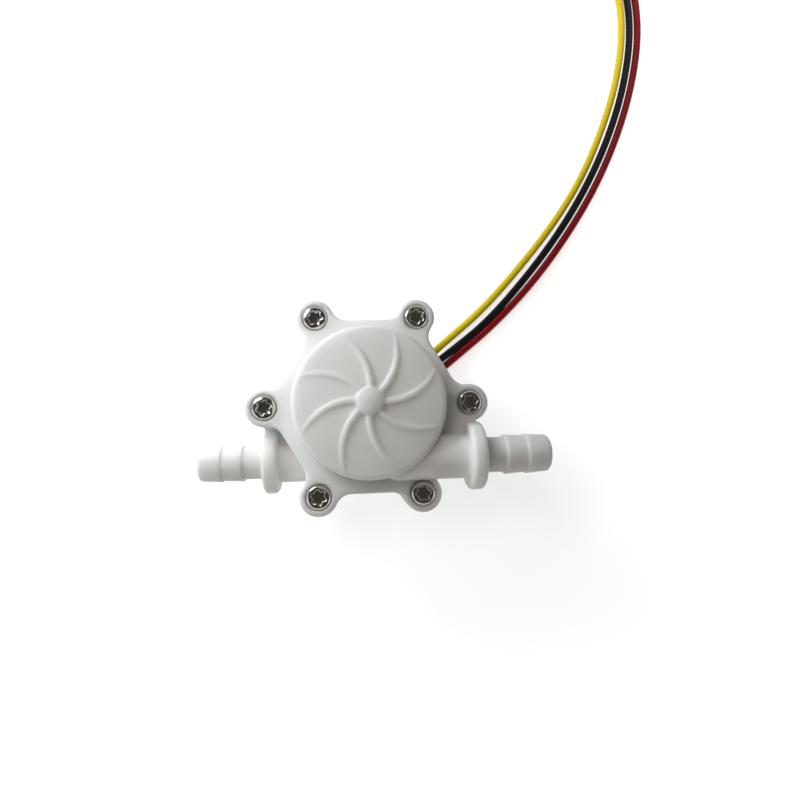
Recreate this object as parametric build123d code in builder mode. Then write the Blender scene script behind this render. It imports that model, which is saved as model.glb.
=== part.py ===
from build123d import *
import os
from math import cos, pi, radians, sin, tan

os.makedirs("parts", exist_ok=True)

# Water flow sensor for 6 mm hose. Millimetres, +Z up, origin on the rotor axis at the flat back.

# Levels above the flat back: pocket, chamber floor, inlet, split line, outlet, chamber roof
lid_thickness = 1.2
pocket_height = 5.8
floor_thickness = 1.6
inlet_rise = 3.73
inlet_to_split = 1.07
split_to_outlet = 1.39
outlet_drop = 2.61
water_bore_radius = 1.8
pipe_wall = 1.8
pipe_radius = water_bore_radius + pipe_wall
chamber_floor_z = pocket_height + floor_thickness
inlet_z = chamber_floor_z + inlet_rise
split_z = inlet_z + pipe_radius + inlet_to_split
outlet_z = split_z + split_to_outlet + pipe_radius
chamber_roof_z = outlet_z + outlet_drop

# Chamber, cup and dome
chamber_radius = 10.7
cup_wall = 1.7
dome_wall = 1.35
cup_radius = chamber_radius + cup_wall
dome_radius = chamber_radius + dome_wall
cup_edge = 0.5
dome_corner_rise = 1.7
dome_crown_rise = 2.6
dome_edge_radius = 0.8
dome_corner_z = chamber_roof_z + dome_corner_rise
dome_crown_z = chamber_roof_z + dome_crown_rise

# Centre button and swirl ribs of the dome
button_radius = 2.3
button_rise = 1.0
button_sink = 0.35
button_crown = 0.5
button_edge_radius = 0.6
rib_count = 8
rib_first_angle = -5.0
rib_start_radius = 1.6
rib_bend_radius = 8.95
rib_sweep = 72.0
rib_width = 1.15
rib_height = 0.5
rib_edge_radius = 0.5
rib_end_inset = 0.45
rib_end_rise = 0.1
rib_reach = dome_radius - rib_end_inset

# Hexagonal flange with six screw lobes
cover_flange = 3.2
body_flange = 3.2
flange_ledge = 2.4
lobe_count = 6
lobe_offset = 2.55
lobe_radius = 3.13
lobe_blend = 2.6
flange_edge_radius = 0.55
parting_chamfer = 0.15
flange_flat = dome_radius + flange_ledge
screw_circle = flange_flat + lobe_offset
flange_top_z = split_z + cover_flange
flange_bottom_z = split_z - body_flange

# Screws with a six-lobe recess
screw_core_radius = 0.85
screw_hole_radius = 1.2
screw_length = 10.0
screw_tip = 0.9
head_radius = 1.97
head_height = 1.5
head_rim = 0.55
head_clearance = 0.2
head_sink = 0.8
recess_depth = 0.9
recess_lobe_radius = 0.38
recess_lobe_circle = 0.95
recess_core_radius = 1.0
boss_radius = 2.7
boss_depth = 5.6
pilot_spare = 0.5
head_seat_z = flange_top_z - head_sink

# Hose nozzles, measured out from the rotor axis along X
water_bore_depth = 17.5
jet_radius = 1.3
jet_from_wall = 0.54
jet_inner_end = 3.0
nozzle_offset = chamber_radius - jet_radius - jet_from_wall
pipe_start = 2.0
pipe_start_radius = 2.5
collar_from_lobe = 1.42
collar_thickness = 2.46
collar_rise = 1.86
collar_radius = pipe_radius + collar_rise
collar_outer_edge = 0.7
collar_inner_edge = 0.7
collar_root = 0.6
neck_length = 3.55
barb_length = 3.48
tip_length = 4.0
neck_wall = 1.05
barb_step = 0.38
valley_step = 0.15
tip_step = 0.1
tip_edge = 0.7
barb_edge = 0.18
collar_start = screw_circle - collar_from_lobe
collar_end = collar_start + collar_thickness
web_inset = 0.1
web_length = collar_end - web_inset
neck_radius = water_bore_radius + neck_wall
crest_radius = neck_radius + barb_step
valley_radius = neck_radius + valley_step
tip_radius = neck_radius + tip_step
inner_barb = collar_end + neck_length
outer_barb = inner_barb + barb_length
nozzle_end = outer_barb + tip_length

# Ring seal in the body's split face, squeezed flat by the cover
seal_gap_from_chamber = 1.1
seal_width = 1.5
seal_height = 1.15
seal_corner = 0.5
seal_inner = chamber_radius + seal_gap_from_chamber

# Fixed shaft, its two seats and the rotor that runs on it
shaft_radius = 0.75
shaft_chamfer = 0.15
shaft_floor_depth = 1.0
shaft_roof_depth = 2.3
floor_boss_radius = 2.2
floor_boss_height = 0.6
roof_boss_height = 0.5
washer_thickness = 0.3
washer_radius = 1.9
washer_clearance = 0.08
end_play = 0.1
running_clearance = 0.05
floor_boss_z = chamber_floor_z + floor_boss_height
roof_boss_z = chamber_roof_z - roof_boss_height
rotor_bottom_z = floor_boss_z + washer_thickness + end_play
rotor_top_z = roof_boss_z - washer_thickness - end_play
bush_wall = 0.75
bush_length = 2.4
hub_wall = 1.0
bush_inner = shaft_radius + running_clearance
bush_outer = bush_inner + bush_wall
hub_radius = bush_outer + hub_wall

# Impeller disc, ring magnet and curved blades
magnet_inner = 4.2
magnet_width = 2.6
magnet_height = 2.2
magnet_cap_thickness = 0.5
disc_rim = 0.6
disc_web = 0.6
blade_count = 8
blade_gap = 0.8
blade_thickness = 0.9
blade_bend_radius = 8.5
blade_sweep = 64.0
blade_lift = 0.5
blade_drop = 0.3
magnet_outer = magnet_inner + magnet_width
disc_radius = magnet_outer + disc_rim
disc_top_z = rotor_bottom_z + magnet_cap_thickness + magnet_height + disc_web
rotor_radius = chamber_radius - blade_gap

# Dry pocket at the back with the pickup, laid out along the direction of the wires
exit_angle = 33.5
pocket_wall = 1.8
pocket_radius = cup_radius - pocket_wall
lid_ledge = 0.6
lid_radius = pocket_radius + lid_ledge
lid_ring_height = 0.7
lid_ring_width = 0.8
lid_ring_gap = 0.1
board_length = 14.2
board_width = 8.4
board_thickness = 1.0
board_centre = -0.5
board_drop = 1.7
board_top_z = pocket_height - board_drop
board_bottom_z = board_top_z - board_thickness
stake_radius = 0.75
stake_clearance = 0.05
stake_shoulder = 1.3
stake_head_radius = 1.2
stake_head_height = 0.45
stake_along = -0.2
stake_aside = 3.0
hall_length = 3.0
hall_width = 4.0
hall_height = 1.5
hall_chamfer = 0.35
lead_count = 3
lead_pitch = 1.27
lead_size = 0.4
lead_reach = 1.4
lead_tail = 0.5
lead_hole_gap = 0.05
hall_along = -(magnet_inner + magnet_width / 2)
lead_along = hall_along + hall_length / 2 + lead_reach - lead_size / 2
chip_length = 2.0
chip_width = 1.25
chip_thickness = 0.55
chip_cap = 0.4
chip_cap_step = 0.05
chip_along = 2.6
chip_aside = 1.6

# Wires, wire outlet and sealant
wire_radius = 0.75
wire_pitch = 1.75
wire_start = 7.0
wire_rise = 2.2
slot_width = 5.9
slot_top_z = 3.25
core_radius = 0.4
core_length = 1.8
solder_along = 5.6
solder_top_radius = 0.8
solder_tip_radius = 0.45
solder_tail = 0.1
lead_solder_radius = 0.55
lead_solder_tip = 0.35

# Three-pin connector, its wires along -X
pin_count = 3
pin_pitch = 2.5
connector_length = 9.9
connector_width = 9.8
connector_height = 5.7
connector_rear = 39.0
connector_middle = 112.6
connector_edge = 0.4
connector_channel = 1.9
terminal_clearance = 0.1
terminal_length = 6.0
terminal_socket = 0.7
terminal_socket_depth = 4.5
window_length = 1.6
window_width = 1.2
guide_rib_width = 1.0
guide_rib_height = 0.5
guide_rib_length = 6.0
guide_rib_aside = 3.3
wire_end = 36.0

# Points of each wire past the housing: where it is seen, then the bend to the connector
floor_z = wire_radius
yellow_points = [
    (17.6, 14.9, 1.0),
    (24.2, 20.6, floor_z),
    (31.5, 28.1, floor_z),
    (40.4, 38.2, floor_z),
    (47.7, 48.7, floor_z),
    (53.4, 60.1, floor_z),
    (58.0, 72.3, floor_z),
    (60.5, 84.9, floor_z),
    (59.9, 96.4, floor_z),
    (54.9, 105.0, floor_z),
    (47.7, 109.2, 1.3),
]
black_points = [
    (18.6, 12.7, 1.0),
    (25.7, 18.2, floor_z),
    (34.1, 27.1, floor_z),
    (42.0, 36.8, floor_z),
    (49.2, 47.6, floor_z),
    (55.2, 59.3, floor_z),
    (59.8, 71.8, floor_z),
    (62.4, 84.8, floor_z),
    (61.8, 97.0, floor_z),
    (56.5, 106.5, floor_z),
    (48.5, 111.5, 1.3),
]
red_points = [
    (19.4, 11.5, 1.0),
    (26.9, 16.9, floor_z),
    (35.4, 25.9, floor_z),
    (43.4, 35.8, floor_z),
    (50.7, 46.7, floor_z),
    (56.8, 58.6, floor_z),
    (61.5, 71.3, floor_z),
    (64.3, 84.7, floor_z),
    (63.7, 97.6, floor_z),
    (58.1, 108.0, floor_z),
    (49.3, 113.8, 1.3),
]
wire_bend_point = 15.5
wire_last_bend = 41.0
arc_share = 0.45

# Planes shared by several pieces
inlet_plane = Plane(origin=(0, -nozzle_offset, inlet_z), x_dir=(-1, 0, 0), z_dir=(0, 1, 0))
outlet_plane = Plane(origin=(0, -nozzle_offset, outlet_z), x_dir=(1, 0, 0), z_dir=(0, -1, 0))
exit_direction = (cos(radians(exit_angle)), sin(radians(exit_angle)), 0)
pickup_plane = Plane(origin=(0, 0, 0), x_dir=exit_direction, z_dir=(0, 0, 1))
exit_plane = Plane(origin=(0, 0, wire_rise), x_dir=(-exit_direction[1], exit_direction[0], 0), z_dir=exit_direction)
seal_centre = seal_inner + seal_width / 2
lane_offsets = [wire_pitch, 0, -wire_pitch]


def flange_outline():
    """Hexagon with a round lobe on each corner, blended into the flats."""
    RegularPolygon(flange_flat, lobe_count, major_radius=False)
    with PolarLocations(screw_circle, lobe_count):
        Circle(lobe_radius)
    fillet(vertices(), lobe_blend)


def nozzle(plane):
    """Pipe, collar and hose barb, turned about the nozzle's own axis."""
    with BuildSketch(plane) as profile:
        with BuildLine():
            Polyline(
                (pipe_start, 0),
                (pipe_start, pipe_radius),
                (collar_start, pipe_radius),
                (collar_start, collar_radius),
                (collar_end, collar_radius),
                (collar_end, neck_radius),
                (inner_barb, neck_radius),
                (inner_barb, crest_radius),
                (outer_barb, valley_radius),
                (outer_barb, crest_radius),
                (nozzle_end, tip_radius),
                (nozzle_end, 0),
                close=True,
            )
        make_face()
        fillet(vertices().sort_by_distance((pipe_start, pipe_radius))[0], pipe_start_radius)
        fillet(vertices().sort_by_distance((collar_end, collar_radius))[0], collar_outer_edge)
        fillet(vertices().sort_by_distance((collar_start, collar_radius))[0], collar_inner_edge)
        fillet(vertices().sort_by_distance((collar_start, pipe_radius))[0], collar_root)
        fillet(vertices().sort_by_distance((collar_end, neck_radius))[0], collar_root)
        fillet(vertices().sort_by_distance((inner_barb, crest_radius))[0], barb_edge)
        fillet(vertices().sort_by_distance((outer_barb, crest_radius))[0], barb_edge)
        fillet(vertices().sort_by_distance((nozzle_end, tip_radius))[0], tip_edge)
    revolve(profile.sketch, axis=Axis(plane.origin, plane.x_dir))


def water_way(plane):
    """The hose bore from the nozzle's tip, and the narrower jet from there into the side of the chamber."""
    tip = Plane(origin=plane.origin + plane.x_dir * nozzle_end, z_dir=-plane.x_dir)
    with BuildSketch(tip) as bore:
        Circle(water_bore_radius)
    extrude(bore.sketch, amount=water_bore_depth, mode=Mode.SUBTRACT)
    with BuildSketch(tip) as jet:
        Circle(jet_radius)
    extrude(jet.sketch, amount=nozzle_end - jet_inner_end, mode=Mode.SUBTRACT)


with BuildPart() as rib:
    with BuildSketch(Plane.XY.offset(chamber_roof_z)):
        with BuildLine():
            JernArc((rib_start_radius, 0), (1, 0), rib_bend_radius, rib_sweep)
        trace(line_width=rib_width)
    extrude(amount=dome_crown_rise + rib_height)
    with BuildSketch(Plane.XZ):
        with BuildLine():
            rib_end = (rib_reach, dome_corner_z + rib_end_rise)
            crest = TangentArc((0, dome_crown_z + rib_height), rib_end, tangent=(1, 0))
            Polyline(crest @ 1, (rib_reach, chamber_roof_z), (0, chamber_roof_z), crest @ 0)
        make_face()
    revolve(axis=Axis.Z, mode=Mode.INTERSECT)
    crest_sides = faces().sort_by(Axis.Z)[-1].edges().sort_by(SortBy.LENGTH)[-2:]
    fillet(crest_sides, rib_edge_radius)

with BuildPart() as cover:
    with BuildSketch(Plane.XY.offset(split_z)):
        flange_outline()
        with Locations((web_length / 2, -nozzle_offset / 2)):
            Rectangle(web_length, nozzle_offset)
    extrude(amount=cover_flange)
    fillet(edges().group_by(Axis.Z)[-1], flange_edge_radius)
    chamfer(edges().group_by(Axis.Z)[0], parting_chamfer)
    nozzle(outlet_plane)
    with BuildSketch(Plane.XZ):
        with BuildLine():
            crown = TangentArc((0, dome_crown_z), (dome_radius, dome_corner_z), tangent=(1, 0))
            Polyline(crown @ 1, (dome_radius, split_z), (0, split_z), crown @ 0)
        make_face()
        fillet(vertices().sort_by_distance((dome_radius, dome_corner_z))[0], dome_edge_radius)
    revolve(axis=Axis.Z)
    with BuildSketch(Plane.XZ):
        with BuildLine():
            button_corner = (button_radius, dome_crown_z + button_rise - button_crown)
            button = TangentArc((0, dome_crown_z + button_rise), button_corner, tangent=(1, 0))
            button_base_z = dome_crown_z - button_sink
            Polyline(button @ 1, (button_radius, button_base_z), (0, button_base_z), button @ 0)
        make_face()
        fillet(vertices().sort_by_distance(button_corner)[0], button_edge_radius)
    revolve(axis=Axis.Z)
    with PolarLocations(0, rib_count, start_angle=rib_first_angle):
        add(rib.part)
    with BuildSketch(Plane.XY.offset(split_z)):
        Circle(chamber_radius)
    extrude(amount=chamber_roof_z - split_z, mode=Mode.SUBTRACT)
    with BuildSketch(Plane.XY.offset(roof_boss_z)):
        Circle(floor_boss_radius)
    extrude(amount=roof_boss_height)
    with BuildSketch(Plane.XY.offset(roof_boss_z)):
        Circle(shaft_radius)
    extrude(amount=roof_boss_height + shaft_roof_depth, mode=Mode.SUBTRACT)
    water_way(outlet_plane)
    with BuildSketch(Plane.XY.offset(split_z)):
        with PolarLocations(screw_circle, lobe_count):
            Circle(screw_hole_radius)
    extrude(amount=cover_flange, mode=Mode.SUBTRACT)
    with BuildSketch(Plane.XY.offset(head_seat_z)):
        with PolarLocations(screw_circle, lobe_count):
            Circle(head_radius + head_clearance)
    extrude(amount=head_sink + head_height, mode=Mode.SUBTRACT)
cover.part.label = "cover"
export_step(cover.part, "parts/cover.step")

with BuildPart() as body:
    with BuildSketch(Plane.XY.offset(flange_bottom_z)):
        flange_outline()
    extrude(amount=body_flange)
    chamfer(edges().group_by(Axis.Z)[-1], parting_chamfer)
    with BuildSketch():
        Circle(cup_radius)
    extrude(amount=flange_bottom_z)
    chamfer(edges().group_by(Axis.Z)[0], cup_edge)
    with BuildSketch(Plane.XY.offset(flange_bottom_z - boss_depth)):
        with PolarLocations(screw_circle, lobe_count):
            Circle(boss_radius)
    extrude(amount=boss_depth)
    with BuildSketch(Plane.XY.offset(flange_bottom_z - boss_depth)):
        with Locations((-web_length / 2, -nozzle_offset / 2)):
            Rectangle(web_length, nozzle_offset)
    extrude(amount=boss_depth)
    nozzle(inlet_plane)
    with BuildSketch(Plane.XY.offset(chamber_floor_z)):
        Circle(chamber_radius)
        Circle(floor_boss_radius, mode=Mode.SUBTRACT)
    extrude(amount=split_z - chamber_floor_z, mode=Mode.SUBTRACT)
    with BuildSketch(Plane.XY.offset(floor_boss_z)):
        Circle(floor_boss_radius)
    extrude(amount=split_z - floor_boss_z, mode=Mode.SUBTRACT)
    with BuildSketch(Plane.XY.offset(chamber_floor_z - shaft_floor_depth)):
        Circle(shaft_radius)
    extrude(amount=shaft_floor_depth + floor_boss_height, mode=Mode.SUBTRACT)
    water_way(inlet_plane)
    with BuildSketch(Plane.XY.offset(split_z)):
        Circle(seal_inner + seal_width)
        Circle(seal_inner, mode=Mode.SUBTRACT)
    extrude(amount=-seal_height, mode=Mode.SUBTRACT)
    with BuildSketch():
        Circle(lid_radius)
    extrude(amount=lid_thickness, mode=Mode.SUBTRACT)
    with BuildSketch():
        Circle(pocket_radius)
    extrude(amount=pocket_height, mode=Mode.SUBTRACT)
    with BuildSketch(pickup_plane.offset(lid_thickness)):
        with Locations((cup_radius, 0)):
            Rectangle(2 * pocket_wall + 2 * lid_ledge, slot_width)
    extrude(amount=slot_top_z - lid_thickness, mode=Mode.SUBTRACT)
    with BuildSketch(pickup_plane.offset(board_top_z)):
        with Locations((stake_along, stake_aside), (stake_along, -stake_aside)):
            Circle(stake_shoulder)
    extrude(amount=board_drop)
    with BuildSketch(pickup_plane.offset(board_bottom_z)):
        with Locations((stake_along, stake_aside), (stake_along, -stake_aside)):
            Circle(stake_radius)
    extrude(amount=board_thickness)
    with BuildSketch(pickup_plane.offset(board_bottom_z - stake_head_height)):
        with Locations((stake_along, stake_aside), (stake_along, -stake_aside)):
            Circle(stake_head_radius)
    extrude(amount=stake_head_height)
    with BuildSketch(Plane.XY.offset(split_z)):
        with PolarLocations(screw_circle, lobe_count):
            Circle(screw_core_radius)
    extrude(amount=head_seat_z - screw_length - pilot_spare - split_z, mode=Mode.SUBTRACT)
body.part.label = "body"
export_step(body.part, "parts/body.step")

with BuildPart() as cover_seal:
    with BuildSketch(Plane.XZ):
        with Locations((seal_centre, split_z - seal_height / 2)):
            RectangleRounded(seal_width, seal_height, seal_corner)
    revolve(axis=Axis.Z)
cover_seal.part.label = "cover_seal"
export_step(cover_seal.part, "parts/cover_seal.step")

with BuildPart() as screw:
    with BuildSketch(Plane.XZ):
        with BuildLine():
            Polyline(
                (0, head_seat_z + head_height),
                (0, head_seat_z - screw_length),
                (screw_core_radius, head_seat_z - screw_length + screw_tip),
                (screw_core_radius, head_seat_z),
                (head_radius, head_seat_z),
                (head_radius, head_seat_z + head_rim),
            )
            TangentArc((0, head_seat_z + head_height), (head_radius, head_seat_z + head_rim), tangent=(1, 0))
        make_face()
    revolve(axis=Axis.Z)
    with BuildSketch(Plane.XY.offset(head_seat_z + head_height)):
        Circle(recess_core_radius)
        with PolarLocations(recess_lobe_circle, lobe_count):
            Circle(recess_lobe_radius)
    extrude(amount=-recess_depth, mode=Mode.SUBTRACT)

with BuildPart() as cover_screws:
    with PolarLocations(screw_circle, lobe_count):
        add(screw.part)
cover_screws.part.label = "cover_screws"
export_step(cover_screws.part, "parts/cover_screws.step")

with BuildPart() as shaft:
    with BuildSketch(Plane.XY.offset(chamber_floor_z - shaft_floor_depth)):
        Circle(shaft_radius)
    extrude(amount=shaft_floor_depth + chamber_roof_z - chamber_floor_z + shaft_roof_depth)
    chamfer(edges().filter_by(GeomType.CIRCLE), shaft_chamfer)
shaft.part.label = "shaft"
export_step(shaft.part, "parts/shaft.step")


def thrust_washer(bottom_z):
    """A flat ring round the shaft, between a housing boss and the hub."""
    with BuildSketch(Plane.XY.offset(bottom_z)) as section:
        Circle(washer_radius)
        Circle(shaft_radius + washer_clearance, mode=Mode.SUBTRACT)
    extrude(section.sketch, amount=washer_thickness)


with BuildPart() as lower_washer:
    thrust_washer(floor_boss_z)
lower_washer.part.label = "lower_washer"
export_step(lower_washer.part, "parts/lower_washer.step")

with BuildPart() as upper_washer:
    thrust_washer(roof_boss_z - washer_thickness)
upper_washer.part.label = "upper_washer"
export_step(upper_washer.part, "parts/upper_washer.step")


def hub_bush(bottom_z):
    """A plain bearing bush pressed in one end of the hub."""
    with BuildSketch(Plane.XY.offset(bottom_z)) as section:
        Circle(bush_outer)
        Circle(bush_inner, mode=Mode.SUBTRACT)
    extrude(section.sketch, amount=bush_length)


with BuildPart() as lower_bush:
    hub_bush(rotor_bottom_z)
lower_bush.part.label = "lower_bush"
export_step(lower_bush.part, "parts/lower_bush.step")

with BuildPart() as upper_bush:
    hub_bush(rotor_top_z - bush_length)
upper_bush.part.label = "upper_bush"
export_step(upper_bush.part, "parts/upper_bush.step")

with BuildPart() as blade:
    with BuildSketch(Plane.XY.offset(rotor_bottom_z + blade_lift)):
        with BuildLine():
            JernArc((bush_outer + hub_wall / 2, 0), (1, 0), blade_bend_radius, blade_sweep)
        trace(line_width=blade_thickness)
    extrude(amount=rotor_top_z - blade_drop - rotor_bottom_z - blade_lift)
    with BuildSketch(Plane.XY.offset(rotor_bottom_z)):
        Circle(rotor_radius)
    extrude(amount=rotor_top_z - rotor_bottom_z, mode=Mode.INTERSECT)

with BuildPart() as impeller:
    with BuildSketch(Plane.XY.offset(rotor_bottom_z)):
        Circle(hub_radius)
    extrude(amount=rotor_top_z - rotor_bottom_z)
    with BuildSketch(Plane.XY.offset(rotor_bottom_z)):
        Circle(disc_radius)
    extrude(amount=disc_top_z - rotor_bottom_z)
    with PolarLocations(0, blade_count):
        add(blade.part)
    with BuildSketch(Plane.XY.offset(rotor_bottom_z)):
        Circle(magnet_outer)
        Circle(magnet_inner, mode=Mode.SUBTRACT)
    extrude(amount=magnet_cap_thickness + magnet_height, mode=Mode.SUBTRACT)
    with BuildSketch(Plane.XY.offset(rotor_bottom_z)):
        Circle(bush_outer)
    extrude(amount=rotor_top_z - rotor_bottom_z, mode=Mode.SUBTRACT)
impeller.part.label = "impeller"
export_step(impeller.part, "parts/impeller.step")

with BuildPart() as magnet_ring:
    with BuildSketch(Plane.XY.offset(rotor_bottom_z + magnet_cap_thickness)):
        Circle(magnet_outer)
        Circle(magnet_inner, mode=Mode.SUBTRACT)
    extrude(amount=magnet_height)
magnet_ring.part.label = "magnet_ring"
export_step(magnet_ring.part, "parts/magnet_ring.step")

with BuildPart() as magnet_cap:
    with BuildSketch(Plane.XY.offset(rotor_bottom_z)):
        Circle(magnet_outer)
        Circle(magnet_inner, mode=Mode.SUBTRACT)
    extrude(amount=magnet_cap_thickness)
magnet_cap.part.label = "magnet_cap"
export_step(magnet_cap.part, "parts/magnet_cap.step")

with BuildPart() as circuit_board:
    with BuildSketch(pickup_plane.offset(board_bottom_z)):
        with Locations((board_centre, 0)):
            RectangleRounded(board_length, board_width, stake_radius)
        with Locations((stake_along, stake_aside), (stake_along, -stake_aside)):
            Circle(stake_radius + stake_clearance, mode=Mode.SUBTRACT)
        with Locations((lead_along, 0)):
            with GridLocations(0, lead_pitch, 1, lead_count):
                Rectangle(lead_size + lead_hole_gap, lead_size + lead_hole_gap, mode=Mode.SUBTRACT)
    extrude(amount=board_thickness)
circuit_board.part.label = "circuit_board"
export_step(circuit_board.part, "parts/circuit_board.step")

with BuildPart() as hall_sensor:
    with BuildSketch(pickup_plane.offset(board_top_z)):
        with Locations((hall_along, 0)):
            Rectangle(hall_length, hall_width)
    extrude(amount=hall_height)
    chamfer(edges().group_by(Axis.Z)[-1], hall_chamfer)
hall_sensor.part.label = "hall_sensor"
export_step(hall_sensor.part, "parts/hall_sensor.step")

with BuildPart() as hall_leads:
    with BuildSketch(pickup_plane.offset(board_top_z)):
        with Locations((hall_along + hall_length / 2 + lead_reach / 2, 0)):
            with GridLocations(0, lead_pitch, 1, lead_count):
                Rectangle(lead_reach, lead_size)
    extrude(amount=lead_size)
    with BuildSketch(pickup_plane.offset(board_bottom_z - lead_tail)):
        with Locations((lead_along, 0)):
            with GridLocations(0, lead_pitch, 1, lead_count):
                Rectangle(lead_size, lead_size)
    extrude(amount=lead_tail + board_thickness)
hall_leads.part.label = "hall_leads"
export_step(hall_leads.part, "parts/hall_leads.step")


def chip(aside):
    """A surface-mounted chip under the board: a body with a metal cap at each end."""
    with BuildSketch(pickup_plane.offset(board_bottom_z)) as middle:
        with Locations((chip_along, aside)):
            Rectangle(chip_length, chip_width)
    extrude(middle.sketch, amount=-chip_thickness + chip_cap_step)
    with BuildSketch(pickup_plane.offset(board_bottom_z)) as caps:
        with Locations((chip_along, aside)):
            with GridLocations(chip_length - chip_cap, 0, 2, 1):
                Rectangle(chip_cap, chip_width)
    extrude(caps.sketch, amount=-chip_thickness)


with BuildPart() as pull_up_resistor:
    chip(chip_aside)
pull_up_resistor.part.label = "pull_up_resistor"
export_step(pull_up_resistor.part, "parts/pull_up_resistor.step")

with BuildPart() as filter_capacitor:
    chip(-chip_aside)
filter_capacitor.part.label = "filter_capacitor"
export_step(filter_capacitor.part, "parts/filter_capacitor.step")

with BuildPart() as solder_joints:
    for offset in lane_offsets:
        with BuildSketch(exit_plane.offset(wire_start - core_length)):
            with Locations((offset, 0)):
                Circle(core_radius)
        extrude(amount=core_length)
        with BuildSketch(pickup_plane.offset(board_bottom_z)):
            with Locations((solder_along, offset)):
                Circle(solder_top_radius)
        with BuildSketch(pickup_plane.offset(wire_rise - core_radius - solder_tail)):
            with Locations((solder_along, offset)):
                Circle(solder_tip_radius)
        loft()
    for row in range(lead_count):
        lead_middle = (lead_along, (row - (lead_count - 1) / 2) * lead_pitch)
        with BuildSketch(pickup_plane.offset(board_bottom_z)):
            with Locations(lead_middle):
                Circle(lead_solder_radius)
                Rectangle(lead_size, lead_size, mode=Mode.SUBTRACT)
        with BuildSketch(pickup_plane.offset(board_bottom_z - lead_tail)):
            with Locations(lead_middle):
                Circle(lead_solder_tip)
                Rectangle(lead_size, lead_size, mode=Mode.SUBTRACT)
        loft()
solder_joints.part.label = "solder_joints"
export_step(solder_joints.part, "parts/solder_joints.step")

with BuildPart() as sensor_lid:
    with BuildSketch():
        Circle(lid_radius)
    extrude(amount=lid_thickness)
    with BuildSketch(Plane.XY.offset(lid_thickness)):
        Circle(pocket_radius - lid_ring_gap)
        Circle(pocket_radius - lid_ring_gap - lid_ring_width, mode=Mode.SUBTRACT)
    extrude(amount=lid_ring_height)
    with BuildSketch(pickup_plane.offset(lid_thickness)):
        with Locations((pocket_radius, 0)):
            Rectangle(pocket_radius, slot_width)
    extrude(amount=lid_ring_height, mode=Mode.SUBTRACT)
sensor_lid.part.label = "sensor_lid"
export_step(sensor_lid.part, "parts/sensor_lid.step")

with BuildPart() as wire_seal:
    with BuildSketch(Plane.XY.offset(lid_thickness)):
        Circle(cup_radius)
        Circle(pocket_radius, mode=Mode.SUBTRACT)
    extrude(amount=slot_top_z - lid_thickness)
    with BuildSketch(pickup_plane.offset(lid_thickness)):
        with Locations((cup_radius, 0)):
            Rectangle(2 * pocket_wall + 2 * lid_ledge, slot_width)
    extrude(amount=slot_top_z - lid_thickness, mode=Mode.INTERSECT)
    with BuildSketch(exit_plane):
        with Locations(*[(offset, 0) for offset in lane_offsets]):
            Circle(wire_radius)
    extrude(amount=cup_radius + pocket_wall, mode=Mode.SUBTRACT)
wire_seal.part.label = "wire_seal"
export_step(wire_seal.part, "parts/wire_seal.step")


def exit_point(along, offset):
    """A point on a wire's lane inside the outlet, as far out as along."""
    return (exit_plane.offset(along) * Pos(offset, 0, 0)).position


def corner_radii(points):
    """The largest arc that each corner's two runs leave room for."""
    radii = []
    for before, corner, after in zip(points, points[1:], points[2:]):
        run = min((corner - before).length, (after - corner).length)
        turn = (corner - before).get_angle(after - corner)
        radii.append(arc_share * run / tan(radians(turn) / 2))
    return radii


def wire_route(lane, points):
    """All points of one wire, from its soldered end to its terminal."""
    route = [exit_point(wire_start, lane_offsets[lane]), exit_point(wire_bend_point, lane_offsets[lane])]
    route += [Vector(*point) for point in points]
    lane_y = connector_middle + (lane - 1) * pin_pitch
    route += [Vector(wire_last_bend, lane_y, connector_height / 2), Vector(wire_end, lane_y, connector_height / 2)]
    return route


def wire_tube(route, radii):
    """A plain tube along straight runs and tangent arcs. Gives the length of its path."""
    with BuildLine() as path:
        FilletPolyline(*route, radius=radii)
    with BuildSketch(Plane(origin=route[0], z_dir=route[1] - route[0])) as section:
        Circle(wire_radius)
    sweep(section.sketch, path=path.wires()[0])
    return path.wires()[0].length


wires = {"wire_yellow": yellow_points, "wire_black": black_points, "wire_red": red_points}
for lane, (name, points) in enumerate(wires.items()):
    route = wire_route(lane, points)
    radii = corner_radii(route)
    with BuildPart() as wire:
        length = wire_tube(route, radii)
    wire.part.label = name
    export_step(wire.part, f"parts/{name}.step")
    tube_volume = pi * wire_radius**2 * length
    print(name, "length", round(length, 1), "volume ratio", round(wire.part.volume / tube_volume, 4))
    print(name, "radii", [round(radius, 1) for radius in radii])

connector_axis = Plane(
    origin=(connector_rear, connector_middle, connector_height / 2), x_dir=(0, 1, 0), z_dir=(-1, 0, 0)
)

with BuildPart() as connector_housing:
    with BuildSketch(connector_axis):
        Rectangle(connector_width, connector_height)
    extrude(amount=connector_length)
    chamfer(edges().filter_by(Axis.X), connector_edge)
    with BuildSketch(Plane.XY.offset(connector_height)):
        with Locations((connector_rear - connector_length + guide_rib_length / 2, connector_middle)):
            with GridLocations(0, 2 * guide_rib_aside, 1, 2):
                Rectangle(guide_rib_length, guide_rib_width)
    extrude(amount=guide_rib_height)
    with BuildSketch(connector_axis):
        with GridLocations(pin_pitch, 0, pin_count, 1):
            Rectangle(connector_channel, connector_channel)
    extrude(amount=connector_length, mode=Mode.SUBTRACT)
    with BuildSketch(Plane.XY.offset(connector_height / 2)):
        with Locations((wire_end - terminal_length / 2, connector_middle)):
            with GridLocations(0, pin_pitch, 1, pin_count):
                Rectangle(window_length, window_width)
    extrude(amount=connector_height, mode=Mode.SUBTRACT)
connector_housing.part.label = "connector_housing"
export_step(connector_housing.part, "parts/connector_housing.step")

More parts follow.
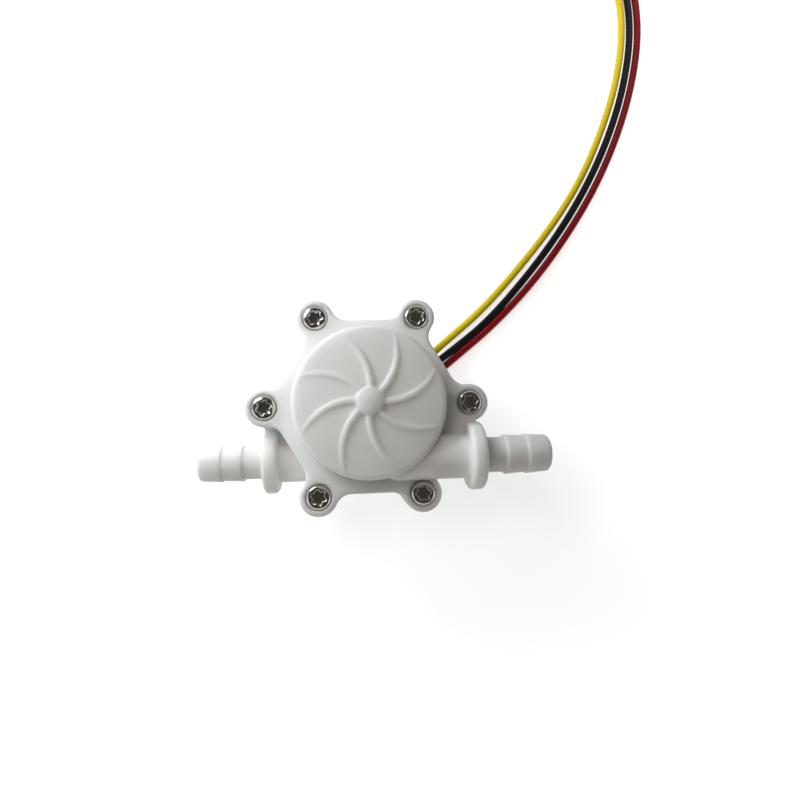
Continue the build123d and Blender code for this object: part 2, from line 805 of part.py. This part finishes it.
terminal_size = connector_channel - 2 * terminal_clearance
with BuildPart() as connector_terminals:
    with BuildSketch(connector_axis.offset(connector_rear - wire_end)):
        with GridLocations(pin_pitch, 0, pin_count, 1):
            Rectangle(terminal_size, terminal_size)
    extrude(amount=terminal_length)
    with BuildSketch(connector_axis.offset(connector_rear - wire_end + terminal_length)):
        with GridLocations(pin_pitch, 0, pin_count, 1):
            Rectangle(terminal_socket, terminal_socket)
    extrude(amount=-terminal_socket_depth, mode=Mode.SUBTRACT)
connector_terminals.part.label = "connector_terminals"
export_step(connector_terminals.part, "parts/connector_terminals.step")
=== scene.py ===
# %% [markdown]
# # A water flow sensor, dressed in Blender
#
# The object is a small turbine meter: two white moulded shells held by six screws, a domed cover
# with eight swirl ribs, two hose nozzles and three thin wires. The solid parts arrive finished and
# at their real size. This lesson gives them their finishes, and makes the pieces that need a
# modeller's hand: the wires, the screws and the studio around them.

# %% Load the finished solids
import math

import bmesh
import bpy
from mathutils import Matrix, Vector


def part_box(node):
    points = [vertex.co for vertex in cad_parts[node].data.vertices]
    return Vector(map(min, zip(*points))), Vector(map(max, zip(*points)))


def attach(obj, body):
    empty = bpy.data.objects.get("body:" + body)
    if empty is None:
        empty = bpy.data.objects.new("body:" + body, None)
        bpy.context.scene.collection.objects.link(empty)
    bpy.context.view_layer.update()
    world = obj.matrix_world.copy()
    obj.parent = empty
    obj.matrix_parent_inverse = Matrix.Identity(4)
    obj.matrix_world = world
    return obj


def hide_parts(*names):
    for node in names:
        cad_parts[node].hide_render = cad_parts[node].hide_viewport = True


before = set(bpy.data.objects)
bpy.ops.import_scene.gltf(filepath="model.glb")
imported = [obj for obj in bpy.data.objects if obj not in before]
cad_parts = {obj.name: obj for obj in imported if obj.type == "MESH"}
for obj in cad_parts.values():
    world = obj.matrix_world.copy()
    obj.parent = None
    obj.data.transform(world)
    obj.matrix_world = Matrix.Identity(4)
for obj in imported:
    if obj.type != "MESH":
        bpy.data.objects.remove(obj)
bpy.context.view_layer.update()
MM = 0.001

# %% [markdown]
# ## The camera
#
# The photograph looks down on the domed cover from a hand's breadth away, a little from the front
# and the left. So close, perspective matters: the lower inlet nozzle looks smaller than the outlet.
# The place and turn below come from fitting a pinhole camera to the outline of the flange, the
# six screws and the two nozzles.

# %% Camera
CAMERA_PLACE = (-2.9616, -7.5865, 104.928)  # mm
CAMERA_TURN = (5.6579, -5.2301, -2.0948)  # degrees about X, Y and Z
CAMERA_LENS = 23.533  # mm, on a sensor 36 mm wide

camera_data = bpy.data.cameras.new("camera")
camera_data.sensor_width = 36.0
camera_data.lens = CAMERA_LENS
camera_data.clip_start = 0.002
camera_data.clip_end = 10.0
camera = bpy.data.objects.new("camera", camera_data)
camera.location = Vector(CAMERA_PLACE) * MM
camera.rotation_euler = [math.radians(turn) for turn in CAMERA_TURN]
bpy.context.scene.collection.objects.link(camera)
bpy.context.scene.camera = camera
print("camera height in mm:", round(camera.location.z / MM, 1))

# %% [markdown]
# ## Three wires
#
# A wire is one smooth line with a round section, so a curve is the natural form: a NURBS spline
# through loose control points, with a bevel for the thickness. The points lie inside the outlet
# first, drop to the table just past the flange, run up to the right as the photograph shows, and
# turn back to the connector outside the picture. The spline's order is set after its points,
# because before that it would stay at straight runs. The thickness is the radius of the points
# times a bevel of one metre, because Blender adds a point's radius as it is to the curve's box.

# %% Wires
WIRE_RADIUS = 0.75  # over the insulation; lengths here are in millimetres
EXIT_TURN = math.radians(33.5)  # bearing of the outlet in the housing's wall
EXIT_HEIGHT = 2.2
SOLDERED_END = 7.0  # distances from the rotor's axis along that bearing
OUTLET_END = 15.5
LANE_PITCH = 1.75  # between the wires in the outlet
PIN_PITCH = 2.5  # between the wires in the connector
CONNECTOR_MIDDLE = 112.6  # y of its middle pin
CONNECTOR_REAR = 41.0  # x where the wires enter it
CRIMP_PLACE = 36.0  # x where they end in their terminals
PIN_HEIGHT = 2.85
FLOOR_LINE = WIRE_RADIUS  # height of a wire that lies on the table
BEVEL_UNIT = 1.0  # metres
wire_points = {
    "yellow": [
        (17.6, 14.9, 1.0),
        (24.35, 20.45, FLOOR_LINE),
        (31.6, 28.0, FLOOR_LINE),
        (40.4, 38.2, FLOOR_LINE),
        (47.7, 48.7, FLOOR_LINE),
        (53.4, 60.1, FLOOR_LINE),
        (58.0, 72.3, FLOOR_LINE),
        (60.5, 84.9, FLOOR_LINE),
        (59.9, 96.4, FLOOR_LINE),
        (54.9, 105.0, FLOOR_LINE),
        (47.7, 109.2, 1.3),
    ],
    "black": [
        (18.6, 12.7, 1.0),
        (25.7, 18.2, FLOOR_LINE),
        (34.1, 27.1, FLOOR_LINE),
        (42.0, 36.8, FLOOR_LINE),
        (49.2, 47.6, FLOOR_LINE),
        (55.2, 59.3, FLOOR_LINE),
        (59.8, 71.8, FLOOR_LINE),
        (62.4, 84.8, FLOOR_LINE),
        (61.8, 97.0, FLOOR_LINE),
        (56.5, 106.5, FLOOR_LINE),
        (48.5, 111.5, 1.3),
    ],
    "red": [
        (19.4, 11.5, 1.0),
        (26.6, 17.2, FLOOR_LINE),
        (35.4, 25.9, FLOOR_LINE),
        (43.4, 35.8, FLOOR_LINE),
        (50.7, 46.7, FLOOR_LINE),
        (56.8, 58.6, FLOOR_LINE),
        (61.5, 71.3, FLOOR_LINE),
        (64.3, 84.7, FLOOR_LINE),
        (63.7, 97.6, FLOOR_LINE),
        (58.1, 108.0, FLOOR_LINE),
        (49.3, 113.8, 1.3),
    ],
}


def outlet_point(along, lane):
    """A point of one lane inside the wire outlet, in millimetres."""
    aside = (1 - lane) * LANE_PITCH
    x = along * math.cos(EXIT_TURN) - aside * math.sin(EXIT_TURN)
    y = along * math.sin(EXIT_TURN) + aside * math.cos(EXIT_TURN)
    return (x, y, EXIT_HEIGHT)


def draw_wire(colour, lane):
    """One insulated wire from its soldered end to its terminal."""
    pin_y = CONNECTOR_MIDDLE + (lane - 1) * PIN_PITCH
    route = [outlet_point(SOLDERED_END, lane), outlet_point(OUTLET_END, lane)]
    route += wire_points[colour]
    route += [(CONNECTOR_REAR, pin_y, PIN_HEIGHT), (CRIMP_PLACE, pin_y, PIN_HEIGHT)]
    curve = bpy.data.curves.new(f"{colour}_wire", "CURVE")
    curve.dimensions = "3D"
    curve.bevel_depth = BEVEL_UNIT
    curve.bevel_resolution = 8
    curve.use_fill_caps = True
    spline = curve.splines.new("NURBS")
    spline.points.add(len(route) - 1)
    for point, place in zip(spline.points, route):
        point.co = (*(Vector(place) * MM), 1.0)
        point.radius = WIRE_RADIUS * MM / BEVEL_UNIT
    spline.order_u = 3
    spline.use_endpoint_u = True
    spline.resolution_u = 16
    wire = bpy.data.objects.new(f"{colour}_wire", curve)
    bpy.context.scene.collection.objects.link(wire)
    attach(wire, "housing")
    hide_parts(f"wire_{colour}")
    return wire


wires = {colour: draw_wire(colour, lane) for lane, colour in enumerate(wire_points)}
print("wires:", sorted(wires))

# %% [markdown]
# ## A finish is a small tree of nodes
#
# Each finish starts from the Principled shader. Numbers that are the same all over the surface are
# set on the shader itself. Only what varies, such as a faint grain or a change of tone, gets nodes,
# and those read Object coordinates, so the pattern stays on the piece when it moves.

# %% Helpers for finishes
def new_finish(name, colour, roughness, metallic=0.0):
    """A material with its node tree and its main shader, set to one plain colour."""
    finish = bpy.data.materials.new(name)
    finish.use_nodes = True
    tree = finish.node_tree
    shader = tree.nodes["Principled BSDF"]
    shader.inputs["Base Color"].default_value = (*colour, 1.0)
    shader.inputs["Roughness"].default_value = roughness
    shader.inputs["Metallic"].default_value = metallic
    return finish, tree, shader


def add_noise(tree, scale, detail=2.0, roughness=0.5):
    """A noise pattern on Object coordinates. Scale counts its grains in a metre."""
    place = tree.nodes.new("ShaderNodeTexCoord")
    noise = tree.nodes.new("ShaderNodeTexNoise")
    noise.inputs["Scale"].default_value = scale
    noise.inputs["Detail"].default_value = detail
    noise.inputs["Roughness"].default_value = roughness
    tree.links.new(place.outputs["Object"], noise.inputs["Vector"])
    return noise.outputs["Fac"]


def vary_colour(tree, shader, pattern, low, high):
    """Lets the middle third of the pattern shift the base colour between two tones."""
    ramp = tree.nodes.new("ShaderNodeValToRGB")
    start, end = ramp.color_ramp.elements
    start.position, end.position = 0.35, 0.65
    start.color, end.color = (*low, 1.0), (*high, 1.0)
    tree.links.new(pattern, ramp.inputs["Fac"])
    tree.links.new(ramp.outputs["Color"], shader.inputs["Base Color"])


def vary_roughness(tree, shader, pattern, low, high):
    """Lets the pattern move the roughness between two values."""
    span = tree.nodes.new("ShaderNodeMapRange")
    span.inputs["To Min"].default_value = low
    span.inputs["To Max"].default_value = high
    tree.links.new(pattern, span.inputs["Value"])
    tree.links.new(span.outputs["Result"], shader.inputs["Roughness"])


def add_relief(tree, shader, pattern, height):
    """Lets the pattern stand up as a fine relief of the given height in millimetres."""
    relief = tree.nodes.new("ShaderNodeBump")
    relief.inputs["Distance"].default_value = height * MM
    tree.links.new(pattern, relief.inputs["Height"])
    tree.links.new(relief.outputs["Normal"], shader.inputs["Normal"])
    return relief


def soften(tree, shader, edge, pattern, height):
    """Rounds the look of sharp edges over a distance, under a fine relief, both in millimetres."""
    rounding = tree.nodes.new("ShaderNodeBevel")
    rounding.samples = 6
    rounding.inputs["Radius"].default_value = edge * MM
    relief = add_relief(tree, shader, pattern, height)
    tree.links.new(rounding.outputs["Normal"], relief.inputs["Normal"])


def dress(node, finish):
    """Gives a solid its finish, on the object, so that its mesh is left alone."""
    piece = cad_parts[node]
    for material_slot in piece.material_slots:
        material_slot.link = "OBJECT"
        material_slot.material = finish


# %% [markdown]
# ## Milky white plastic
#
# The shells are moulded from a white engineering plastic with a satin skin. Light goes a little
# way into it, which softens every shadow on it: that is the subsurface part. Its skin is not quite
# even, so a broad faint noise moves the tone, and a fine one gives the satin.

# %% Housing plastic
CLOUD_DEPTH = 0.965  # how dark the noise lets the tone become


def moulded_plastic(name, tone, edge):
    """Satin moulded plastic that lets a little light in."""
    finish, tree, shader = new_finish(name, tone, 0.39)
    shader.inputs["Subsurface Weight"].default_value = 1.0
    shader.inputs["Subsurface Radius"].default_value = (1.0, 0.95, 0.9)
    shader.inputs["Subsurface Scale"].default_value = 2.2 * MM
    shader.inputs["Specular IOR Level"].default_value = 0.4
    clouds = add_noise(tree, 160.0, 3.0)
    darker = [CLOUD_DEPTH * part for part in tone]
    vary_colour(tree, shader, clouds, darker, tone)
    skin = add_noise(tree, 9000.0, 3.0)
    vary_roughness(tree, shader, skin, 0.34, 0.44)
    soften(tree, shader, edge, skin, 0.002)
    return finish


housing_finish = moulded_plastic("milky_white_plastic", (0.9, 0.905, 0.9), 0.6)
lid_finish = moulded_plastic("lid_white_plastic", (0.82, 0.83, 0.82), 0.15)
rotor_finish = moulded_plastic("natural_acetal", (0.78, 0.79, 0.77), 0.1)
connector_finish = moulded_plastic("off_white_nylon", (0.86, 0.85, 0.79), 0.15)
for node in ("body", "cover"):
    dress(node, housing_finish)
dress("sensor_lid", lid_finish)
dress("impeller", rotor_finish)
dress("magnet_cap", rotor_finish)
dress("connector_housing", connector_finish)
print("plastic finishes: 4")

# %% [markdown]
# ## Wire insulation
#
# Thin vinyl insulation has a satin gloss and is a little uneven from the extruder. A soft
# lengthwise waviness would need the curve's own coordinates. A faint noise in colour, gloss and
# relief reads the same at this size.

# %% Insulation
def insulation(name, tone, shadow_tone):
    """Satin vinyl with a slightly uneven skin."""
    finish, tree, shader = new_finish(name, tone, 0.4)
    shader.inputs["Specular IOR Level"].default_value = 0.25
    wave = add_noise(tree, 1200.0, 2.0)
    vary_colour(tree, shader, wave, shadow_tone, tone)
    vary_roughness(tree, shader, wave, 0.34, 0.48)
    add_relief(tree, shader, wave, 0.006)
    return finish


wire_finishes = {
    "yellow": insulation("yellow_vinyl", (0.98, 0.76, 0.03), (0.94, 0.71, 0.025)),
    "black": insulation("black_vinyl", (0.009, 0.008, 0.01), (0.006, 0.006, 0.007)),
    "red": insulation("dark_red_vinyl", (0.3, 0.008, 0.012), (0.26, 0.006, 0.009)),
}
for colour, wire in wires.items():
    wire.data.materials.append(wire_finishes[colour])
print("wire finishes:", len(wire_finishes))

# %% [markdown]
# ## Metals and small inner parts
#
# What is sealed inside is finished too, because the part can be taken apart: ground steel for the
# shaft and washers, tinned leads and terminals, dark ferrite, a green board and its chips.

# %% Inner finishes
def bright_metal(name, tone, low, high, grain):
    """Metal whose gloss changes from place to place."""
    finish, tree, shader = new_finish(name, tone, low, 1.0)
    marks = add_noise(tree, grain, 4.0, 0.6)
    vary_roughness(tree, shader, marks, low, high)
    soften(tree, shader, 0.05, marks, 0.002)
    return finish


def plain_solid(name, tone, other_tone, roughness, grain):
    """A non-metal with a fine change of tone and a fine relief."""
    finish, tree, shader = new_finish(name, tone, roughness)
    specks = add_noise(tree, grain, 4.0, 0.6)
    vary_colour(tree, shader, specks, other_tone, tone)
    soften(tree, shader, 0.05, specks, 0.006)
    return finish


inner_finishes = {
    "shaft": bright_metal("ground_steel", (0.6, 0.61, 0.62), 0.14, 0.26, 4000.0),
    "lower_washer": bright_metal("stamped_steel", (0.56, 0.57, 0.58), 0.25, 0.4, 3000.0),
    "hall_leads": bright_metal("tinned_leads", (0.62, 0.62, 0.6), 0.28, 0.42, 5000.0),
    "solder_joints": bright_metal("solder", (0.6, 0.61, 0.61), 0.2, 0.38, 2500.0),
    "connector_terminals": bright_metal("tinned_terminals", (0.6, 0.58, 0.5), 0.22, 0.36, 3000.0),
    "cover_seal": plain_solid(
        "black_nitrile", (0.02, 0.02, 0.021), (0.012, 0.012, 0.012), 0.55, 3000.0
    ),
    "lower_bush": plain_solid(
        "grey_bearing_plastic", (0.2, 0.21, 0.22), (0.17, 0.18, 0.19), 0.4, 2500.0
    ),
    "magnet_ring": plain_solid(
        "dark_ferrite", (0.035, 0.035, 0.038), (0.02, 0.02, 0.022), 0.6, 5000.0
    ),
    "circuit_board": plain_solid(
        "green_board", (0.012, 0.13, 0.05), (0.01, 0.1, 0.04), 0.32, 2500.0
    ),
    "hall_sensor": plain_solid(
        "black_package", (0.014, 0.014, 0.015), (0.01, 0.01, 0.011), 0.5, 6000.0
    ),
    "pull_up_resistor": plain_solid(
        "resistor_film", (0.02, 0.02, 0.024), (0.014, 0.014, 0.016), 0.35, 6000.0
    ),
    "filter_capacitor": plain_solid(
        "tan_ceramic", (0.32, 0.2, 0.1), (0.27, 0.16, 0.08), 0.4, 6000.0
    ),
    "wire_seal": plain_solid(
        "milky_sealant", (0.7, 0.7, 0.66), (0.62, 0.62, 0.58), 0.3, 1500.0
    ),
}
inner_finishes["upper_washer"] = inner_finishes["lower_washer"]
inner_finishes["upper_bush"] = inner_finishes["lower_bush"]
for node, finish in inner_finishes.items():
    dress(node, finish)
print("inner solids finished:", len(inner_finishes))

# %% [markdown]
# ## Screws
#
# Six screws with a low crown and a six-lobe recess hold the shells together. Their sparkle comes
# from small rounded edges that a plain solid lacks, so each screw is built again, ring by ring. A
# capped circle makes the cone at the bottom of the recess. Each extrusion of its edge then moves up
# the star-shaped wall, over the rounded lip and the crown, down the rim and along the shank. The
# thread is a small triangle, spun about the axis while it climbs.

# %% Screw shape
SCREW_COUNT = 6
SCREW_CIRCLE = 17.0  # radius on which the screws stand; lengths here are in millimetres
SCREW_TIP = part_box("cover_screws")[0].z / MM
HEAD_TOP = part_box("cover_screws")[1].z / MM
HEAD_SEAT = HEAD_TOP - 1.5
HEAD_RADIUS = 1.97
CORE_RADIUS = 0.84
RECESS_FLOOR = HEAD_TOP - 0.85
CONE_REACH, CONE_DEPTH = 0.62, 0.34  # the cone that the punch leaves in the floor
LOBES, STAR_MIDDLE, STAR_LOBE = 6, 1.1, 0.19  # star with lobes about a middle distance
CROWN_REACH, CROWN_DROP = 1.68, 0.3  # the crown falls by the drop over the reach
RING_POINTS = 96
WALL_RINGS = [  # height, size of the star
    (RECESS_FLOOR + 0.01, 0.93),
    (RECESS_FLOOR + 0.06, 0.97),
    (HEAD_TOP - 0.3, 1.0),
]
LIP_RINGS = [(0.12, 1.01), (0.07, 1.04), (0.025, 1.09), (0.0, 1.14)]  # depth under crown, size
RIM_RINGS = [(0.36, 1.78), (0.45, 1.86), (0.57, 1.92), (0.7, 1.955), (0.84, HEAD_RADIUS)]
UNDERSIDE_EDGE = 0.06
MID_CROWN = 1.55  # a ring halfway between the lip and this distance keeps the crown round
TIP_LENGTH, TIP_RADIUS, TIP_BLUNT = 0.9, 0.08, 0.05
THREAD_TURNS, THREAD_STEPS, THREAD_PITCH = 7, 24, 1.0
THREAD_START, THREAD_REACH, THREAD_HALF_WIDTH = 1.0, 1.12, 0.3
THREAD_SINK = 0.1  # how far its root lies inside the core
RECESS_TURNS = (9, 23)  # degrees: the first recess, and each next one further
SHARP_EDGE = math.radians(50)
crown_radius = (CROWN_REACH**2 + CROWN_DROP**2) / (2 * CROWN_DROP)


def under_crown(depth):
    """The height at this depth under the low crown, for a distance from the axis."""
    top = HEAD_TOP - crown_radius
    return lambda reach: top + math.sqrt(crown_radius**2 - reach**2) - depth


def star(size):
    """The distance of the recess wall from the axis, for a turn about it."""
    return lambda turn: size * (STAR_MIDDLE + STAR_LOBE * math.cos(LOBES * turn))


def place_ring(ring, height, distance):
    """Moves a ring of vertices to the given height and distance, each a number or a function."""
    for vertex in ring:
        turn = math.atan2(vertex.co.y, vertex.co.x)
        reach = distance(turn) if callable(distance) else distance
        level = height(reach) if callable(height) else height
        vertex.co = Vector((reach * math.cos(turn), reach * math.sin(turn), level)) * MM


def grow_ring(mesh, ring, height, distance):
    """Extrudes the open ring and moves the new one into place."""
    edges = [edge for edge in mesh.edges if edge.is_boundary and edge.verts[0] in ring]
    made = bmesh.ops.extrude_edge_only(mesh, edges=edges)["geom"]
    new_ring = {part for part in made if isinstance(part, bmesh.types.BMVert)}
    place_ring(new_ring, height, distance)
    return new_ring


def build_screw():
    """One screw on the world axis, with its head up."""
    mesh = bmesh.new()
    start = bmesh.ops.create_circle(
        mesh, cap_ends=True, cap_tris=True, segments=RING_POINTS, radius=CONE_REACH * MM
    )["verts"]
    bmesh.ops.translate(mesh, vec=(0, 0, RECESS_FLOOR * MM), verts=start)
    middle = min(start, key=lambda vertex: vertex.co.xy.length)
    middle.co.z -= CONE_DEPTH * MM
    ring = set(start) - {middle}
    lip = star(LIP_RINGS[-1][1])
    steps = [(height, star(size)) for height, size in WALL_RINGS]
    steps += [(under_crown(depth), star(size)) for depth, size in LIP_RINGS]
    steps += [
        (under_crown(0.0), lambda turn: 0.5 * (lip(turn) + MID_CROWN)),
        (under_crown(0.0), CROWN_REACH),
    ]
    steps += [(HEAD_TOP - depth, distance) for depth, distance in RIM_RINGS]
    steps += [
        (HEAD_SEAT + UNDERSIDE_EDGE, HEAD_RADIUS),
        (HEAD_SEAT, HEAD_RADIUS - UNDERSIDE_EDGE),
        (HEAD_SEAT, CORE_RADIUS),
        (SCREW_TIP + TIP_LENGTH, CORE_RADIUS),
        (SCREW_TIP + TIP_BLUNT, TIP_RADIUS),
    ]
    for height, distance in steps:
        ring = grow_ring(mesh, ring, height, distance)
    bmesh.ops.holes_fill(mesh, edges=[edge for edge in mesh.edges if edge.is_boundary])
    bmesh.ops.recalc_face_normals(mesh, faces=mesh.faces)
    return mesh


def add_thread(mesh):
    """A sharp ridge that climbs the shank, closed at both ends."""
    low, root = SCREW_TIP + THREAD_START, CORE_RADIUS - THREAD_SINK
    corners = [(root, -THREAD_HALF_WIDTH), (THREAD_REACH, 0.0), (root, THREAD_HALF_WIDTH)]
    profile = [mesh.verts.new(Vector((x, 0, low + z)) * MM) for x, z in corners]
    face = mesh.faces.new(profile)
    bmesh.ops.spin(
        mesh,
        geom=[face],
        cent=(0, 0, 0),
        axis=(0, 0, 1),
        dvec=(0, 0, THREAD_PITCH * MM / THREAD_STEPS),
        angle=2 * math.pi * THREAD_TURNS,
        steps=THREAD_TURNS * THREAD_STEPS,
        use_merge=False,
    )


def set_screws():
    """Six copies of the screw, each in its hole with its recess at its own turn."""
    mesh = build_screw()
    add_thread(mesh)
    one = list(mesh.verts) + list(mesh.edges) + list(mesh.faces)
    first, further = RECESS_TURNS
    for place in range(SCREW_COUNT):
        copy = bmesh.ops.duplicate(mesh, geom=one)["geom"]
        verts = [part for part in copy if isinstance(part, bmesh.types.BMVert)]
        twist = Matrix.Rotation(math.radians(further * place + first), 3, "Z")
        bmesh.ops.rotate(mesh, cent=(0, 0, 0), matrix=twist, verts=verts)
        bearing = 2 * math.pi * place / SCREW_COUNT
        away = Vector((math.cos(bearing), math.sin(bearing), 0)) * SCREW_CIRCLE * MM
        bmesh.ops.translate(mesh, vec=away, verts=verts)
    bmesh.ops.delete(mesh, geom=[part for part in one if isinstance(part, bmesh.types.BMVert)])
    bmesh.ops.recalc_face_normals(mesh, faces=mesh.faces)
    data = bpy.data.meshes.new("screws")
    mesh.to_mesh(data)
    mesh.free()
    data.shade_smooth()
    data.set_sharp_from_angle(angle=SHARP_EDGE)
    piece = bpy.data.objects.new("screws", data)
    bpy.context.scene.collection.objects.link(piece)
    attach(piece, "housing")
    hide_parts("cover_screws")
    return piece


screws = set_screws()
print("screw faces:", len(screws.data.polygons))

# %% [markdown]
# ## Nickel plate
#
# Bright nickel mirrors its surroundings, so most of its look is the dark card above the object and
# the white room around it: a dark head with a bright crescent on the side of the key lamp. A fine
# uneven relief breaks the mirror up, as plating on a stamped head does.

# %% Nickel
nickel, nickel_tree, nickel_shader = new_finish("nickel_plate", (0.66, 0.63, 0.58), 0.16, 1.0)
nickel_marks = add_noise(nickel_tree, 2600.0, 4.0, 0.6)
vary_roughness(nickel_tree, nickel_shader, nickel_marks, 0.1, 0.26)
add_relief(nickel_tree, nickel_shader, nickel_marks, 0.02)
screws.data.materials.append(nickel)
print("nickel on", screws.name)

# %% [markdown]
# ## The table
#
# The object lies on a plain white table that keeps its shadow. Like any white sweep in a studio,
# the table looks white to the camera and in mirrors, yet adds little light of its own to the
# object. It brightens with the distance from the object, so that it meets the white room without
# an edge.

# %% Table
TABLE_HALF = 1.5  # metres, as the other lengths of the studio's planes
FADE_START, FADE_END = 0.045, 0.15  # distances between which the table brightens
NEAR_GLOW, FAR_GLOW = 0.7, 1.0  # its own light at those distances


def seen_or_mirrored(tree):
    """One for rays that show a thing, straight, mirrored or through glass, else zero."""
    path = tree.nodes.new("ShaderNodeLightPath")
    shown = path.outputs["Is Camera Ray"]
    for kind in ("Is Glossy Ray", "Is Transmission Ray"):
        either = tree.nodes.new("ShaderNodeMath")
        either.operation = "MAXIMUM"
        tree.links.new(shown, either.inputs[0])
        tree.links.new(path.outputs[kind], either.inputs[1])
        shown = either.outputs[0]
    return shown


def studio_plane(name, half_width, height, finish):
    """A level square that belongs to the studio and not to the object."""
    mesh = bmesh.new()
    bmesh.ops.create_grid(mesh, x_segments=1, y_segments=1, size=half_width)
    bmesh.ops.translate(mesh, vec=(0, 0, height), verts=mesh.verts)
    data = bpy.data.meshes.new(name)
    mesh.to_mesh(data)
    mesh.free()
    data.materials.append(finish)
    plane = bpy.data.objects.new(name, data)
    bpy.context.scene.collection.objects.link(plane)
    return plane


table_finish, table_tree, table_shader = new_finish("pale_table", (0.92, 0.92, 0.92), 0.9)
table_shader.inputs["Specular IOR Level"].default_value = 0.0
table_shader.inputs["Emission Color"].default_value = (1.0, 1.0, 1.0, 1.0)
table_place = table_tree.nodes.new("ShaderNodeTexCoord")
table_distance = table_tree.nodes.new("ShaderNodeVectorMath")
table_distance.operation = "LENGTH"
table_tree.links.new(table_place.outputs["Object"], table_distance.inputs[0])
table_fade = table_tree.nodes.new("ShaderNodeMapRange")
table_fade.inputs["From Min"].default_value = FADE_START
table_fade.inputs["From Max"].default_value = FADE_END
table_fade.inputs["To Min"].default_value = NEAR_GLOW
table_fade.inputs["To Max"].default_value = FAR_GLOW
table_tree.links.new(table_distance.outputs["Value"], table_fade.inputs["Value"])
lift = table_tree.nodes.new("ShaderNodeMath")
lift.operation = "MULTIPLY"
table_tree.links.new(seen_or_mirrored(table_tree), lift.inputs[0])
table_tree.links.new(table_fade.outputs["Result"], lift.inputs[1])
table_tree.links.new(lift.outputs[0], table_shader.inputs["Emission Strength"])
table = studio_plane("table", TABLE_HALF, 0.0, table_finish)
print("table size in m:", 2 * TABLE_HALF)

# %% [markdown]
# ## A dark card for the screws
#
# A photographer of bright metal hangs a dark card above it, so that the metal mirrors something
# dark and keeps its shape on a white ground. This card is large and faintly warm. Only mirror rays
# meet it: it throws no shadow and takes no light away from the plastic.

# %% Dark card
CARD_HALF = 0.6
CARD_HEIGHT = 0.26

card_finish, card_tree, card_shader = new_finish("dark_felt", (0.0, 0.0, 0.0), 1.0)
card_shader.inputs["Specular IOR Level"].default_value = 0.0
card_shader.inputs["Emission Color"].default_value = (1.0, 0.9, 0.8, 1.0)
card_shader.inputs["Emission Strength"].default_value = 0.05
card = studio_plane("dark_card", CARD_HALF, CARD_HEIGHT, card_finish)
card.visible_camera = False
card.visible_diffuse = False
card.visible_transmission = False
card.visible_shadow = False
print("dark card above the object in m:", CARD_HEIGHT, "seen by mirrors only")

# %% [markdown]
# ## The white room
#
# The background is white wherever it is seen, straight or in a mirror. As a light it is kept low,
# so that the lamps alone decide where the shade falls.

# %% World
ROOM_LIGHT = 0.03  # of the white that the camera sees

world = bpy.data.worlds.new("white_room")
bpy.context.scene.world = world
world.use_nodes = True
world_tree = world.node_tree
background = world_tree.nodes["Background"]
background.inputs["Color"].default_value = (1.0, 1.0, 1.0, 1.0)
world_level = world_tree.nodes.new("ShaderNodeMapRange")
world_level.inputs["To Min"].default_value = ROOM_LIGHT
world_level.inputs["To Max"].default_value = 1.0
world_tree.links.new(seen_or_mirrored(world_tree), world_level.inputs["Value"])
world_tree.links.new(world_level.outputs["Result"], background.inputs["Strength"])
print("world light on the object:", ROOM_LIGHT)

# %% [markdown]
# ## Lamps
#
# The photograph has its light from the upper left. The key lamp stands low there, so that the ribs
# of the dome get a gentle relief and the lower right falls into a warm half shade. A broad lamp at
# the left and a long one in front lift the sides of the nozzles. A soft one above fills the top: it
# is hidden from mirrors, where it would lighten the screws. A weak one keeps the right side
# readable, and the last lights the connector alone.

# %% Lamps
COOL, COOLER, FRESH = (0.9, 0.98, 1.0), (0.82, 0.98, 1.0), (0.86, 0.96, 1.0)
WARM, WARMER, NEUTRAL = (1.0, 0.89, 0.79), (1.0, 0.86, 0.74), (1.0, 0.98, 0.95)
CONNECTOR_CONE = math.radians(70)
lamp_rows = {  # place and target in mm, width and height in mm, power in W, colour
    "key": ((-80, 78, 66), (-5, 0, 18), (60, 50), 0.108, COOL),
    "left": ((-150, -62, 60), (-10, -8, 14), (120, 80), 0.042, COOLER),
    "front": ((-10, -170, 20), (-3, -9, 12), (220, 24), 0.038, WARMER),
    "top": ((-61, 48, 168), (0, -3, 18), (110, 90), 0.098, WARM),
    "right": ((150, -70, 14), (10, -9, 12), (110, 24), 0.03, FRESH),
    "connector": ((52, 128, 90), (32, 112, 0), (40, 40), 0.012, NEUTRAL),
}


def soft_lamp(name, place, target, size, power, colour):
    """A rectangular soft lamp at a place in millimetres, facing its target."""
    data = bpy.data.lights.new(name, "AREA")
    data.shape = "RECTANGLE"
    data.size, data.size_y = (side * MM for side in size)
    data.energy = power
    data.color = colour
    lamp = bpy.data.objects.new(name, data)
    lamp.location = Vector(place) * MM
    facing = Vector(target) * MM - lamp.location
    lamp.rotation_euler = facing.to_track_quat("-Z", "Y").to_euler()
    bpy.context.scene.collection.objects.link(lamp)
    lamp.visible_camera = False
    return lamp


lamps = {name: soft_lamp(name, *row) for name, row in lamp_rows.items()}
lamps["top"].visible_glossy = False
lamps["connector"].data.spread = CONNECTOR_CONE
print("lamps:", sorted(lamps))

# %% [markdown]
# ## Tone
#
# The Standard view shows the colours as they are set, without a film look.

# %% View settings
bpy.context.scene.view_settings.view_transform = "Standard"
